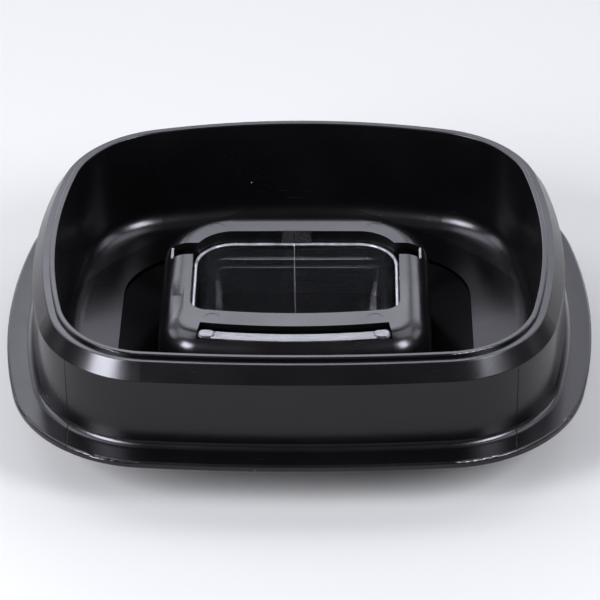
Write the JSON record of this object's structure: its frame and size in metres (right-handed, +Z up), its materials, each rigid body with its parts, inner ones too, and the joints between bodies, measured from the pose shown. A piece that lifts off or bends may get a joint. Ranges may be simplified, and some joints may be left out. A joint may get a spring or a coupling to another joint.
{
  "type": "container lid",
  "caption": "Black flanged lid shown skirt side up: a rounded tub skirt with a slotted boss inside and a clear cup cap that slides out of it.",
  "frame": {"origin": "centre of the overall plan, on the rest face under the clear cap's plate", "axes": "+Z up out of the skirt's mouth, +X along the long side to the right, +Y away from the bowed front towards the boss's rear slots"},
  "size_m": [0.229, 0.2026, 0.0624],
  "materials": {
    "black_plastic": "glossy moulded black polypropylene with fine handling scratches",
    "clear_plastic": "clear moulded copolyester, polished"
  },
  "bodies": {
    "lid": {"skirt_collar": "black_plastic", "tub": "black_plastic"},
    "cap": {"filler_cap": "clear_plastic"}
  },
  "joints": [
    {"name": "cap_pull", "type": "slide", "parent": "lid", "child": "cap", "axis": [0, 0, -1], "range_m": [0, 0.044]}
  ]
}
